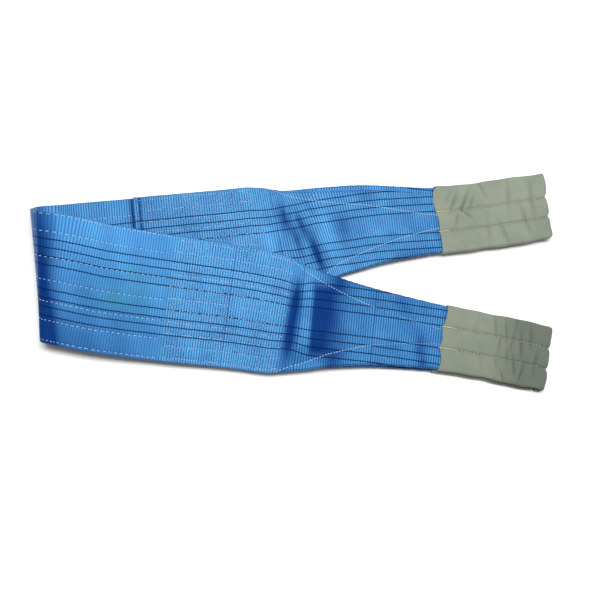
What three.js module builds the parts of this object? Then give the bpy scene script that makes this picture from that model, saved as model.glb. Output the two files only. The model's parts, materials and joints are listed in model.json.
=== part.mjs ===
// Flat web sling: two-ply eye-and-eye webbing sling, folded in half, its front leg lying above
// its back leg. Millimetres, +Z up. +X runs from the fold towards the two eyes, +Y from the
// front leg to the back leg. The origin is the centre of the footprint, on the resting plane.
import * as THREE from 'three';

const { smoothstep, degToRad } = THREE.MathUtils;

// ---- driving dimensions -------------------------------------------------
const HALF_WIDTH = 120; // half of the 240 mm webbing
const PLY = 3.6; // webbing thickness
const GAP = 0.3; // clearance between stitched plies
const PITCH = PLY + GAP; // ply to ply
const CANVAS = 1.2; // wear sleeve canvas thickness
const LIMB_GAP = 14.2; // outer to returning layer inside the sleeve, centre to centre
const LIMB_HALF = 62; // half width of the folded eye limb
const SLEEVE_HALF = 65; // half width of the wear sleeve
const TIP_LENGTH = 17; // limb cut to the far end of the eye

// half loop
const BEND_X = -462; // where both legs run into the half loop
const BEND_REACH = 33.5; // loop reach beyond BEND_X on the centre line
const BEND_REACH_SKEW = 18.6; // added reach at the +Y selvedge, taken off at the other
const BEND_JOINTS = 5; // equal bend lines over the half turn
const ARC_STEPS = 400; // samples of the loop's length

// half of the clearance at each cut across the webbing
const BEND_CUT = 1.45;
const ROOT_CUT = 1.3;
const THROAT_CUT = 1.9;
const MID_CUT = 1.7;
const TIP_CUT = 3.5;

// turned-in edges of an eye limb
const MIN_FLAP = 0.8; // least flap width
const MIN_FOLD = 4; // least half distance between the two flaps
const FOLD_STEP = 0.6; // width of the step up onto a flap
const SEAM_INSET = 9; // fold seam to the flap's free edge
const MIN_SEAM = 14; // least fold seam distance from the centre line

// sewing rows
const ROW_WIDTH = 1.5;
const ROW_HEIGHT = 0.7;
const MITRE_LIMIT = 0.5; // least cosine used to widen a row at a corner
const ROW_CLEARANCE = 0.25; // webbing to body and splice rows
const FOLD_SEAM_CLEARANCE = 0.45;
const SLEEVE_SEAM_CLEARANCE = 0.3;
const BODY_ROWS = [116.5, 84, 37, -5, -44, -78, -114];
const SPLICE_ROWS = 11;
const SPLICE_ROW_EDGE = 112; // outermost splice row
const ROW_MARGIN = 4; // kept clear at the edge where the webbing narrows
const SLEEVE_SEAM_ROWS = [21, -21];
const BODY_END = 6; // body rows stop this far before the splice
const SPLICE_START = 3; // splice rows start this far into it
const SLEEVE_SEAM_START = 4; // from the sleeve's mouth
const SLEEVE_SEAM_END = 8; // before the tip cut

// station spacing along X
const BODY_STEP = 42;
const THROAT_STEP = 14;
const END_STEP = 38;
const TIP_SECTIONS = 6; // sections round the eye tip's half turn

const BLUE = 0x3f86cf;
const BLUE_INNER = 0x3a7cc4;
const SAGE = 0x97a08c;
const THREAD = 0xdfe3e6;

// Legs. splice, root, throat, mid, sleeve and tip are places along X, in that order except
// that the sleeve starts past mid. inSign is -1 where the eye lies below the outer webbing.
// shift: sideways drift of the returning layer.
// path: centre line of the outer webbing; width: [x, half width].
// slack and returnSlack: ripples past the splice, [height, x, spread].
// pivots: roll in degrees, distances from the leg's throat, mid and tip places.
const FRONT = {
  name: 'front',
  inSign: -1,
  splice: -255,
  root: -28,
  throat: 17,
  mid: 255,
  sleeve: 281,
  tip: 503,
  shift: -3,
  outerStep: 20,
  returnStep: 24,
  path: [ // x, y, z, roll in degrees (+Y edge up)
    [-462, 31, 50, 8.5], [-430, 24.5, 49.2, 8.5], [-370, 12.5, 43.6, 7.6],
    [-250, -3.5, 34.6, 6.6], [-120, -20.5, 29.6, 6.6], [-20, -38.5, 29.2, 6.4],
    [60, -47.6, 26, 3.6], [140, -57, 21.2, 1.2], [240, -72.3, 18.2, 0.2],
    [340, -89.9, 17.8, 0], [500, -123.5, 17.8, 0],
  ],
  width: [
    [-330, 120], [-200, 118.5], [-100, 116], [-60, 114.5], [-40, 112], [-20, 105], [20, 95.5],
    [60, 86.5], [140, 74], [240, 65], [285, 62.5], [340, 62], [520, 62],
  ],
  slack: [[8, 14, 13], [-1.6, -8, 9], [1.5, 95, 22]],
  returnSlack: [],
  pivots: { roll: 3, throatBack: 3, throatDepth: -8.5, midDepth: 4, tipDepth: 13.2 },
};
const BACK = {
  name: 'back',
  inSign: 1,
  splice: -312,
  root: -62,
  throat: -17,
  mid: 250,
  sleeve: 283,
  tip: 514,
  shift: -14,
  outerStep: 26,
  returnStep: 18,
  path: [ // x, y
    [-462, 67], [-430, 70.4], [-370, 77], [-250, 90.5], [-120, 105.5], [-20, 120.5],
    [60, 145], [140, 160.5], [240, 169], [340, 177.5], [510, 204.5],
  ],
  lift: { from: 60, to: 250 }, // lies flat, lifted here by the sleeve canvas under the eye
  width: [
    [-95, 120], [-70, 117], [-40, 110.5], [0, 102], [60, 88.5], [140, 78], [240, 66],
    [285, 62.5], [340, 62], [520, 62],
  ],
  slack: [],
  returnSlack: [[3.2, -30, 6], [3.2, -12, 6], [2.4, 90, 14]],
  pivots: { roll: 0, throatBack: 6, throatDepth: 0.5, midDepth: 3.5, tipDepth: 8.5 },
};
const tipCut = (leg) => leg.tip - TIP_LENGTH;

// ---- curves -------------------------------------------------------------
function hermite(t, start, end, startSlope, endSlope) {
  return (2 * t ** 3 - 3 * t ** 2 + 1) * start + (t ** 3 - 2 * t ** 2 + t) * startSlope
    + (-2 * t ** 3 + 3 * t ** 2) * end + (t ** 3 - t ** 2) * endSlope;
}

// Smooth curve through one column of a table, held before it and run on straight beyond it.
function curve(rows, column, x, flatStart = true) {
  const last = rows.length - 1;
  const chord = (i, j) => (rows[j][column] - rows[i][column]) / (rows[j][0] - rows[i][0]);
  const slope = (i) => {
    if (i === 0 && flatStart) return 0;
    return chord(Math.max(0, i - 1), Math.min(last, i + 1));
  };
  const within = Math.min(Math.max(x, rows[0][0]), rows[last][0]);
  let i = 0;
  while (i < last - 1 && within >= rows[i + 1][0]) i += 1;
  const length = rows[i + 1][0] - rows[i][0];
  const value = hermite(
    (within - rows[i][0]) / length,
    rows[i][column],
    rows[i + 1][column],
    slope(i) * length,
    slope(i + 1) * length,
  );
  const beyond = Math.max(0, x - rows[last][0]);
  return value + slope(last) * beyond;
}

// Evenly spaced values from start to end, both included.
function span(start, end, step) {
  const count = Math.max(1, Math.round(Math.abs(end - start) / step));
  return Array.from({ length: count + 1 }, (_, i) => start + ((end - start) * i) / count);
}

// ---- legs ---------------------------------------------------------------
const centreY = (leg, x) => curve(leg.path, 1, x, false);
function centreZ(leg, x) {
  if (!leg.lift) return curve(leg.path, 2, x);
  return PLY / 2 + (GAP + CANVAS) * smoothstep(x, leg.lift.from, leg.lift.to);
}
const rollAt = (leg, x) => (leg.lift ? 0 : degToRad(curve(leg.path, 3, x)));
const halfWidth = (leg, x) => Math.min(HALF_WIDTH, curve(leg.width, 1, x));

// Centre point with unit directions along, across and into the eye.
function legFrame(leg, x) {
  const delta = 0.5;
  const dy = (centreY(leg, x + delta) - centreY(leg, x - delta)) / (2 * delta);
  const dz = (centreZ(leg, x + delta) - centreZ(leg, x - delta)) / (2 * delta);
  const roll = rollAt(leg, x);
  const along = new THREE.Vector3(1, dy, dz).normalize();
  const across = new THREE.Vector3(-dy, 1, 0).normalize().multiplyScalar(Math.cos(roll));
  across.z = Math.sin(roll);
  const inward = new THREE.Vector3().crossVectors(along, across).normalize();
  inward.multiplyScalar(leg.inSign);
  const centre = new THREE.Vector3(x, centreY(leg, x), centreZ(leg, x));
  return { centre, along, across, inward };
}

// Sum of ripples, fading out towards the selvedges.
function rippleHeight(leg, ripples, x, v) {
  const fade = 1 - smoothstep(Math.abs(v) / halfWidth(leg, x), 0.45, 0.95);
  return fade * ripples.reduce(
    (sum, [height, at, spread]) => sum + height * Math.exp(-(((x - at) / spread) ** 2)),
    0,
  );
}

// Spacing of the returning layer from the outer layer, opening from the stitched pitch.
function limbGap(leg, x) {
  const closed = 2 * PITCH;
  return closed + (LIMB_GAP - closed) * smoothstep(x, leg.root - 5, leg.root + 210);
}
// Thickness of the flaps, thinned to fit between the two layers.
const flapDepth = (leg, x) => Math.min(PLY, (limbGap(leg, x) - PLY - 0.5) / 2);

// Point on a leg: v across, n from the outer webbing's middle surface into the eye.
function legPoint(leg, x, v, n) {
  if (x < BEND_X) return bendPoint(bendParameter(leg, BEND_X - x), v / HALF_WIDTH, n);
  const { centre, across, inward } = legFrame(leg, x);
  return centre
    .addScaledVector(across, v)
    .addScaledVector(inward, n - rippleHeight(leg, leg.slack, x, v));
}

// Point on the returning layer of an eye, n again pointing into the eye.
function returnPoint(leg, x, v, n) {
  const { centre, across, inward } = legFrame(leg, x);
  const shift = leg.shift * smoothstep(x, leg.root, leg.root + 180);
  return centre
    .addScaledVector(across, v + shift)
    .addScaledVector(inward, limbGap(leg, x) - n + rippleHeight(leg, leg.returnSlack, x, v));
}

// ---- the half loop ------------------------------------------------------
// u runs from 0 at the back leg to 1 at the front leg, q from -1 to 1 across the webbing.
const BACK_START = legFrame(BACK, BEND_X);
const FRONT_START = legFrame(FRONT, BEND_X);

function bendMiddle(u, q) {
  const edge = (frame) => frame.centre.clone().addScaledVector(frame.across, q * HALF_WIDTH);
  const back = edge(BACK_START);
  const front = edge(FRONT_START);
  const reach = BEND_REACH + BEND_REACH_SKEW * q;
  const turn = Math.PI * u;
  const blend = (1 - Math.cos(turn)) / 2;
  const backSlope = -(BACK_START.along.y / BACK_START.along.x) * reach * Math.PI;
  const frontSlope = (FRONT_START.along.y / FRONT_START.along.x) * reach * Math.PI;
  return new THREE.Vector3(
    back.x + (front.x - back.x) * blend - reach * Math.sin(turn),
    hermite(u, back.y, front.y, backSlope, frontSlope),
    back.z + (front.z - back.z) * blend,
  );
}

function bendPoint(u, q, n) {
  const delta = 1e-3;
  const du = bendMiddle(u + delta, q).sub(bendMiddle(u - delta, q));
  const dq = bendMiddle(u, q + delta).sub(bendMiddle(u, q - delta));
  const normal = new THREE.Vector3().crossVectors(dq, du).normalize();
  return bendMiddle(u, q).addScaledVector(normal, n);
}

// Angle the centre line has turned through at u.
function bendAngle(u) {
  const delta = 1e-4;
  const direction = bendMiddle(u + delta, 0).sub(bendMiddle(u - delta, 0));
  return Math.atan2(direction.z, -direction.x);
}

// u where the centre line has turned through a given angle, by bisection.
function bendAt(angle) {
  let low = 0;
  let high = 1;
  for (let i = 0; i < 50; i += 1) {
    const middle = (low + high) / 2;
    if (bendAngle(middle) < angle) low = middle;
    else high = middle;
  }
  return (low + high) / 2;
}

// Centre line length from the back leg to each sample.
const ARC = [0];
for (let i = 1; i <= ARC_STEPS; i += 1) {
  const piece = bendMiddle(i / ARC_STEPS, 0).distanceTo(bendMiddle((i - 1) / ARC_STEPS, 0));
  ARC.push(ARC[i - 1] + piece);
}

// u at a length round the loop from a leg.
function bendParameter(leg, beyond) {
  const length = leg === BACK ? beyond : ARC[ARC_STEPS] - beyond;
  let i = 0;
  while (i < ARC_STEPS - 1 && ARC[i + 1] < length) i += 1;
  return (i + (length - ARC[i]) / (ARC[i + 1] - ARC[i])) / ARC_STEPS;
}

const HINGES = Array.from(
  { length: BEND_JOINTS },
  (_, k) => bendAt(((k + 0.5) * Math.PI) / BEND_JOINTS),
);

// Section across the loop as a function of (q, n).
const bendSection = (u) => (q, n) => bendPoint(u, q, n);

// Section beside a hinge, the same distance from it all the way across.
// side is +1 towards the front leg, -1 towards the back leg.
function cutSection(u, side) {
  const delta = 1e-3;
  return (q, n) => {
    const distance = bendMiddle(u + delta, q).distanceTo(bendMiddle(u - delta, q));
    const speed = distance / (2 * delta);
    return bendPoint(u + (side * BEND_CUT) / speed, q, n);
  };
}

// ---- solids -------------------------------------------------------------
const sling = new THREE.Group();
sling.name = 'flat_web_sling';

function addMesh(name, points, triangles, color) {
  const cross = new THREE.Vector3();
  let volume = 0;
  for (const [a, b, c] of triangles) {
    volume += points[a].dot(cross.crossVectors(points[b], points[c]));
  }
  const facingOut = triangles.flatMap(([a, b, c]) => (volume > 0 ? [a, b, c] : [a, c, b]));
  const coordinates = points.flatMap((p) => [p.x, p.y, p.z]);
  const geometry = new THREE.BufferGeometry();
  geometry.setAttribute('position', new THREE.Float32BufferAttribute(coordinates, 3));
  geometry.setIndex(facingOut);
  geometry.computeVertexNormals();
  const material = new THREE.MeshStandardMaterial({ color, roughness: 0.85, metalness: 0 });
  const mesh = new THREE.Mesh(geometry, material);
  mesh.name = name;
  sling.add(mesh);
}

// Solid between the outer and inner lines of successive sections {outer, inner}.
// The lines are open for a slab and closed for a tube.
function loft(name, sections, color, closed = false) {
  const count = sections[0].outer.length;
  const last = sections.length - 1;
  const edge = count - 1;
  const points = sections.flatMap(({ outer, inner }) => [...outer, ...inner]);
  const triangles = [];
  const outer = (i, j) => i * 2 * count + (j % count);
  const inner = (i, j) => outer(i, j) + count;
  const quad = (a, b, c, d) => triangles.push([a, b, c], [a, c, d]);
  for (let j = 0; j < (closed ? count : edge); j += 1) {
    for (let i = 0; i < last; i += 1) {
      quad(outer(i, j), outer(i + 1, j), outer(i + 1, j + 1), outer(i, j + 1));
      quad(inner(i, j), inner(i, j + 1), inner(i + 1, j + 1), inner(i + 1, j));
    }
    quad(outer(0, j), outer(0, j + 1), inner(0, j + 1), inner(0, j));
    quad(outer(last, j), inner(last, j), inner(last, j + 1), outer(last, j + 1));
  }
  for (let i = 0; i < last && !closed; i += 1) {
    quad(outer(i, 0), inner(i, 0), inner(i + 1, 0), outer(i + 1, 0));
    quad(outer(i, edge), outer(i + 1, edge), inner(i + 1, edge), inner(i, edge));
  }
  addMesh(name, points, triangles, color);
}

// One layer of webbing at depth n through sections given as functions of (q, n).
function ply(name, sections, n, color) {
  const line = (section, depth) => [-1, -0.5, 0, 0.5, 1].map((q) => section(q, depth));
  loft(name, sections.map((section) => ({
    outer: line(section, n - PLY / 2),
    inner: line(section, n + PLY / 2),
  })), color);
}

// Webbing section with both edges turned in; place maps (v, n) to a point.
function foldedSection(half, depth, place) {
  const flap = Math.max(MIN_FLAP, HALF_WIDTH - half);
  const fold = Math.max(MIN_FOLD, half - flap);
  const across = [-half, -(fold + FOLD_STEP), -fold, 0, fold, fold + FOLD_STEP, half];
  const depths = [depth, depth, 0, 0, 0, depth, depth];
  return {
    outer: across.map((v) => place(v, -PLY / 2)),
    inner: across.map((v, i) => place(v, PLY / 2 + depths[i])),
  };
}
const limbSection = (leg, point, x) => foldedSection(
  halfWidth(leg, x),
  flapDepth(leg, x),
  (v, n) => point(leg, x, v, n),
);
function foldedLimb(name, leg, point, xs) {
  loft(name, xs.map((x) => limbSection(leg, point, x)), BLUE);
}

// ---- sewing rows --------------------------------------------------------
// Depths [from, to] of a row outside or inside a face.
const rowOutside = (face, clearance) => [-face - clearance - ROW_HEIGHT, -face - clearance];
const rowInside = (face) => [face + ROW_CLEARANCE, face + ROW_CLEARANCE + ROW_HEIGHT];

// Unit normal to the left of a path segment.
function leftOf(start, end) {
  return new THREE.Vector2(start[1] - end[1], end[0] - start[0]).normalize();
}

// Mitred strip of thread along a path of [x, v] on a leg or returning layer.
function sewn(name, path, leg, point, depths) {
  const last = path.length - 1;
  const sections = path.map(([x, v], i) => {
    const before = leftOf(path[Math.max(0, i - 1)], path[Math.max(1, i)]);
    const after = leftOf(path[Math.min(i, last - 1)], path[Math.min(i + 1, last)]);
    const mitre = before.clone().add(after).normalize();
    const reach = ROW_WIDTH / 2 / Math.max(MITRE_LIMIT, mitre.dot(after));
    const line = (n) => [reach, -reach].map(
      (side) => point(leg, x + mitre.x * side, v + mitre.y * side, n),
    );
    return { outer: line(depths[0]), inner: line(depths[1]) };
  });
  loft(name, sections, THREAD);
}

// Path along each row in turn, back and forth.
function serpentine(xs, rows, scale = () => 1) {
  return rows.flatMap((v, i) => {
    const order = i % 2 ? [...xs].reverse() : xs;
    return order.map((x) => [x, v * scale(x)]);
  });
}

// ---- body and splice ----------------------------------------------------
const bodyXs = (leg) => span(BEND_X, leg.splice - BODY_END, BODY_STEP);
const spliceXs = (leg) => span(leg.splice, leg.root - ROOT_CUT, BODY_STEP);

// Sections from the leg's last hinge up to the loop's end.
function bendEndSections(leg) {
  if (leg === BACK) {
    const hinge = HINGES[0];
    return [cutSection(hinge, -1), ...[0.66, 0.33].map((part) => bendSection(hinge * part))];
  }
  const hinge = HINGES[BEND_JOINTS - 1];
  const sections = [0.34, 0.67].map((part) => bendSection(hinge + (1 - hinge) * part));
  return [cutSection(hinge, 1), ...sections];
}

function buildWebbing(leg) {
  const section = (x) => (q, n) => legPoint(leg, x, q * halfWidth(leg, x), n);
  const splice = spliceXs(leg).map(section);
  const full = [...bendEndSections(leg), ...bodyXs(leg).map(section), ...splice];
  ply(`${leg.name}_outer_webbing`, full, 0, BLUE);
  ply(`${leg.name}_inner_webbing`, full, PITCH, BLUE_INNER);
  ply(`${leg.name}_splice_tail`, splice, 2 * PITCH, BLUE);
}

// The back leg rests on its outer face, so only its upper side carries rows.
function buildRows(leg) {
  const xs = spliceXs(leg).slice(0, -1);
  xs[0] += SPLICE_START;
  const rows = Array.from(
    { length: SPLICE_ROWS },
    (_, i) => SPLICE_ROW_EDGE - (2 * SPLICE_ROW_EDGE * i) / (SPLICE_ROWS - 1),
  );
  const narrowing = (x) => Math.min(
    1,
    (halfWidth(leg, x) - ROW_MARGIN) / (HALF_WIDTH - ROW_MARGIN),
  );
  const parts = [
    ['body', serpentine(bodyXs(leg), BODY_ROWS), PITCH],
    ['splice', serpentine(xs, rows, narrowing), 2 * PITCH],
  ];
  for (const [part, path, depth] of parts) {
    const name = `${leg.name}_${part}`;
    if (leg === FRONT) {
      sewn(`${name}_needle_rows`, path, leg, legPoint, rowOutside(PLY / 2, ROW_CLEARANCE));
    }
    sewn(`${name}_bobbin_rows`, path, leg, legPoint, rowInside(depth + PLY / 2));
  }
}

// ---- eye ----------------------------------------------------------------
const outerLimbXs = (leg) => span(leg.throat + THROAT_CUT, leg.mid - MID_CUT, leg.outerStep);
function returnLimbXs(leg) {
  return span(leg.root + ROOT_CUT, eyePivots(leg).q.x - MID_CUT, leg.returnStep);
}

function buildLimbs(leg) {
  const eye = `${leg.name}_eye`;
  const throatXs = span(leg.root + ROOT_CUT, leg.throat - THROAT_CUT, THROAT_STEP);
  const endXs = (start) => span(start + MID_CUT, tipCut(leg) - TIP_CUT, END_STEP);
  foldedLimb(`${eye}_throat_outer`, leg, legPoint, throatXs);
  foldedLimb(`${eye}_outer_limb`, leg, legPoint, outerLimbXs(leg));
  foldedLimb(`${eye}_outer_end`, leg, legPoint, endXs(leg.mid));
  foldedLimb(`${eye}_return_limb`, leg, returnPoint, returnLimbXs(leg));
  foldedLimb(`${eye}_return_end`, leg, returnPoint, endXs(eyePivots(leg).q.x));
}

// Depths of the sleeve's outside faces, away from the eye and into it.
const SLEEVE_OUTSIDE = PLY / 2 + GAP + CANVAS;
const SLEEVE_INSIDE = SLEEVE_OUTSIDE + PLY;
const TIP_TURNS = span(0, 1, 1 / TIP_SECTIONS);

// Maps (turn, v, n) to a point round the tip, turn 0 on the outer limb, 1 on the return.
function tipPlacer(leg) {
  const frame = legFrame(leg, leg.tip - LIMB_GAP / 2 - SLEEVE_OUTSIDE);
  const axis = frame.centre.clone().addScaledVector(frame.inward, LIMB_GAP / 2);
  return (turn, v, n) => {
    const angle = Math.PI * turn;
    const radius = LIMB_GAP / 2 - n;
    return axis.clone()
      .addScaledVector(frame.across, v + leg.shift * turn)
      .addScaledVector(frame.inward, -radius * Math.cos(angle))
      .addScaledVector(frame.along, radius * Math.sin(angle));
  };
}

function buildTip(leg) {
  const place = tipPlacer(leg);
  const start = tipCut(leg) + TIP_CUT;
  loft(`${leg.name}_eye_tip`, [
    limbSection(leg, legPoint, start),
    ...TIP_TURNS.map((turn) => foldedSection(LIMB_HALF, PLY, (v, n) => place(turn, v, n))),
    limbSection(leg, returnPoint, start),
  ], BLUE);
}

// Closed canvas section round a limb; place maps (v, n) to a point.
function sleeveSection(place) {
  const ring = (inset) => {
    const half = SLEEVE_HALF + GAP - inset;
    const across = [-half, -half / 2, 0, half / 2, half];
    return [
      ...across.map((v) => place(v, inset - SLEEVE_OUTSIDE)),
      ...across.reverse().map((v) => place(v, SLEEVE_INSIDE - inset)),
    ];
  };
  return { outer: ring(0), inner: ring(CANVAS) };
}

// Wear sleeve: canvas tube round each limb and round the tip.
function buildSleeve(leg) {
  const sleeve = `${leg.name}_sleeve`;
  const cut = tipCut(leg);
  const xs = span(leg.sleeve, cut - TIP_CUT, END_STEP);
  const section = (point, x) => sleeveSection((v, n) => point(leg, x, v, n));
  const upper = leg === FRONT ? legPoint : returnPoint;
  const seamXs = [leg.sleeve + SLEEVE_SEAM_START, ...xs.slice(1, -1), cut - SLEEVE_SEAM_END];
  const seamDepths = rowOutside(SLEEVE_OUTSIDE, SLEEVE_SEAM_CLEARANCE);
  sewn(`${sleeve}_seam`, serpentine(seamXs, SLEEVE_SEAM_ROWS), leg, upper, seamDepths);
  loft(`${sleeve}_outer`, xs.map((x) => section(legPoint, x)), SAGE, true);
  loft(`${sleeve}_return`, xs.map((x) => section(returnPoint, x)), SAGE, true);
  const place = tipPlacer(leg);
  loft(`${sleeve}_tip`, [
    section(legPoint, cut + TIP_CUT),
    ...TIP_TURNS.map((turn) => sleeveSection((v, n) => place(turn, v, n))),
    section(returnPoint, cut + TIP_CUT),
  ], SAGE, true);
}

// Seams that hold the turned-in edges; the back leg's resting face carries none.
function buildFoldSeams(leg) {
  const path = (limbXs) => {
    const inset = SEAM_INSET - HALF_WIDTH;
    const seamAt = (x) => Math.max(MIN_SEAM, 2 * halfWidth(leg, x) + inset);
    return serpentine(limbXs.slice(1, -1), [1, -1], seamAt);
  };
  const eye = `${leg.name}_eye`;
  const depths = rowOutside(PLY / 2, FOLD_SEAM_CLEARANCE);
  if (leg === FRONT) {
    sewn(`${eye}_outer_fold_seam`, path(outerLimbXs(leg)), leg, legPoint, depths);
  }
  sewn(`${eye}_return_fold_seam`, path(returnLimbXs(leg)), leg, returnPoint, depths);
}

// ---- pivots -------------------------------------------------------------
// p0, p1 and t are the throat, mid and tip pivots; q, on the return limb, closes a
// parallelogram with them.
function eyePivots(leg) {
  const { pivots } = leg;
  const at = (x, depth) => {
    const { centre, inward } = legFrame(leg, x);
    return centre.addScaledVector(inward, depth);
  };
  const direction = at(tipCut(leg), 0).sub(at(leg.throat, 0)).setZ(0).normalize();
  const tilt = degToRad(pivots.roll);
  const axis = new THREE.Vector3(-direction.y, direction.x, 0).multiplyScalar(Math.cos(tilt));
  axis.z = Math.sin(tilt);
  const throat = at(leg.throat - pivots.throatBack, pivots.throatDepth);
  const mid = at(leg.mid, pivots.midDepth);
  const tip = at(tipCut(leg), pivots.tipDepth);
  return {
    axis,
    rootAxis: legFrame(leg, leg.root).across,
    root: at(leg.root, 0),
    p0: throat,
    p1: mid,
    t: tip,
    q: tip.clone().sub(mid).add(throat),
  };
}

// ---- build --------------------------------------------------------------
// Two-ply pieces of the half loop between neighbouring hinges.
function buildBend() {
  for (let k = 0; k < BEND_JOINTS - 1; k += 1) {
    const start = HINGES[k];
    const end = HINGES[k + 1];
    const sections = [
      cutSection(start, 1),
      ...[1 / 3, 2 / 3].map((part) => bendSection(start + (end - start) * part)),
      cutSection(end, -1),
    ];
    ply(`bend_${k + 1}_outer_webbing`, sections, 0, BLUE);
    ply(`bend_${k + 1}_inner_webbing`, sections, PITCH, BLUE_INNER);
  }
}

for (const leg of [BACK, FRONT]) {
  buildWebbing(leg);
  buildRows(leg);
  buildLimbs(leg);
  buildTip(leg);
  buildSleeve(leg);
  buildFoldSeams(leg);
}
buildBend();

const box = new THREE.Box3().setFromObject(sling);
const origin = box.getCenter(new THREE.Vector3()).setZ(box.min.z);
sling.position.copy(origin).negate();
// Pivots and hinge ends are in the frame before this shift.
sling.userData = {
  eyes: { front: eyePivots(FRONT), back: eyePivots(BACK) },
  origin,
  bend: HINGES.map((u) => ({
    far: bendPoint(u, 1, PITCH / 2),
    near: bendPoint(u, -1, PITCH / 2),
  })),
};
export default sling;
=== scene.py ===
"""A flat blue web sling, folded in half on a floor, with an eye and a canvas wear sleeve at each end.

+Z is up. The fold is at -x and the eyes at +x. The front leg (towards -y at the eyes) lies
higher; the back leg rests on the floor. Functions work in millimetres, meshes are in metres.

Coordinates of a leg: x from the fold to the eye, s or v across the webbing (positive towards +y;
s before its edges are folded in, v after), n from the leg's outer face inwards to the other leg.
"""

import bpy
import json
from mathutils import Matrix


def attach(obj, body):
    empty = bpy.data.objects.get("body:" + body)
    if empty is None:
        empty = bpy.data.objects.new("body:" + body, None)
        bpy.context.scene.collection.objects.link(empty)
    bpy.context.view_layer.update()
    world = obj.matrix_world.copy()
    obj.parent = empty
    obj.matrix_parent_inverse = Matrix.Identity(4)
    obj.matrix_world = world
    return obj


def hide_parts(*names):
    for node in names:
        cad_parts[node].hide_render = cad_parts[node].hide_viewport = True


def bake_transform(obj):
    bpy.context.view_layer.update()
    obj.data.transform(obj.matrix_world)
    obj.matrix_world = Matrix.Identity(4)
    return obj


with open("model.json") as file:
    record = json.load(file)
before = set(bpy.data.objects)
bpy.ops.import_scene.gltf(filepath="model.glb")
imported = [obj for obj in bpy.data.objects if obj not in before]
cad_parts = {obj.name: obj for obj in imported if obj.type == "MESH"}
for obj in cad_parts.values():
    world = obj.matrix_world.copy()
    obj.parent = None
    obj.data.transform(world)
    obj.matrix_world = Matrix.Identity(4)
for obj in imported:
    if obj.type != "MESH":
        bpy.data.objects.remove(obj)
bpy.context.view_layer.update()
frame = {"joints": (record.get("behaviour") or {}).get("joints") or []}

import json
import math
from types import SimpleNamespace

import bpy
import numpy as np
from mathutils import Matrix

JOINT = {j["name"]: j for j in frame["joints"]}

HALF = 120.0           # half width of the web
STEP = 3.9             # from one ply to the next
LIMB_GAP = 14.2        # between the outer and returning plies of an open eye
ROOT_GAP = 7.8         # the same where the eye starts
BEND_X = -462.0        # where the legs end and the loop between them starts
REACH, SKEW = 33.5, 18.6   # how far the loop bulges, and how much more at its +s edge
PITCH = 4.8            # one weft rib
SUB = 5                # rows of vertices per rib
T_WEB = 1.5            # half thickness of a ply between its ribs
RIB = 0.36             # height of a rib
FACE = T_WEB + RIB * 0.75   # depth of the face that stitches lie on
TIP_INSET = 3.3        # from the sleeve's end to the web's outer face at the tip

# sign: -1 where inwards is down. root: start of the eye. splice: cut end of the returning ply.
# sleeve: mouth of the sleeve. tip: end of the eye. throat, mid, cut: centres of the eye's bends.
# shift: offset of the returning ply across. pull: offset along x near the tip.
# x, y, z, roll: centre line and its roll in degrees. widths: (x, half width).
FRONT = SimpleNamespace(
    name="front", sign=-1, root=-28, splice=-255, sleeve=281, tip=503, throat=14, mid=255,
    cut=486, shift=-3, pull=-12.0,
    x=[-462, -430, -370, -250, -120, -20, 60, 140, 240, 340, 500],
    y=[31, 24.5, 12.5, -3.5, -20.5, -38.5, -47.6, -57, -72.3, -89.9, -123.5],
    z=[50, 49.2, 43.6, 34.6, 29.6, 29.2, 26, 21.2, 18.2, 17.8, 17.8],
    roll=[8.5, 8.5, 7.6, 6.6, 6.6, 6.4, 3.6, 1.2, 0.2, 0, 0],
    widths=[(-330, 120), (-200, 118.5), (-100, 116), (-60, 114.5), (-40, 112), (-20, 105),
            (20, 95.5), (60, 86.5), (140, 74), (240, 65), (285, 62.5), (340, 62), (520, 62)])
BACK = SimpleNamespace(
    name="back", sign=1, root=-62, splice=-312, sleeve=283, tip=514, throat=-17, mid=250,
    cut=497, shift=-14, pull=1.0,
    x=[-462, -430, -370, -250, -120, -20, 60, 140, 240, 340, 510],
    y=[67, 70.4, 77, 90.5, 105.5, 120.5, 145, 160.5, 169, 177.5, 204.5],
    z=None, roll=[0.0] * 11,
    widths=[(-95, 120), (-70, 117), (-40, 110.5), (0, 102), (60, 88.5), (140, 78),
            (240, 66), (285, 62.5), (340, 62), (520, 62)])
LEGS = (BACK, FRONT)

# sewing rows, by their place across the web
BODY_ROWS = [116.5, 84, 37, -5, -44, -78, -114]
SPLICE_ROWS = [112 - 22.4 * i for i in range(11)]


# ---- curves ---------------------------------------------------------------------
def hermite(xs, ys, x, flat=False):
    """Smooth curve through points; held before the first, carried on straight past the last."""
    xs, ys, x = np.asarray(xs, float), np.asarray(ys, float), np.asarray(x, float)
    slope = np.empty(len(xs))
    slope[0] = 0 if flat else (ys[1] - ys[0]) / (xs[1] - xs[0])
    slope[-1] = (ys[-1] - ys[-2]) / (xs[-1] - xs[-2])
    slope[1:-1] = (ys[2:] - ys[:-2]) / (xs[2:] - xs[:-2])
    inside = np.clip(x, xs[0], xs[-1])
    i = np.clip(np.searchsorted(xs, inside, side="right") - 1, 0, len(xs) - 2)
    width = xs[i + 1] - xs[i]
    value = cubic((inside - xs[i]) / width, ys[i], ys[i + 1],
                  slope[i] * width, slope[i + 1] * width)
    return value + np.where(x > xs[-1], slope[-1] * (x - xs[-1]), 0)


def cubic(t, start, end, slope_start, slope_end):
    return ((2 * t ** 3 - 3 * t ** 2 + 1) * start + (t ** 3 - 2 * t ** 2 + t) * slope_start
            + (-2 * t ** 3 + 3 * t ** 2) * end + (t ** 3 - t ** 2) * slope_end)


def smooth(a, b, x):
    t = np.clip((np.asarray(x, float) - a) / (b - a), 0, 1)
    return t * t * (3 - 2 * t)


def bell(x, centre, width):
    return np.exp(-(((x - centre) / width) ** 2))


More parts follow.
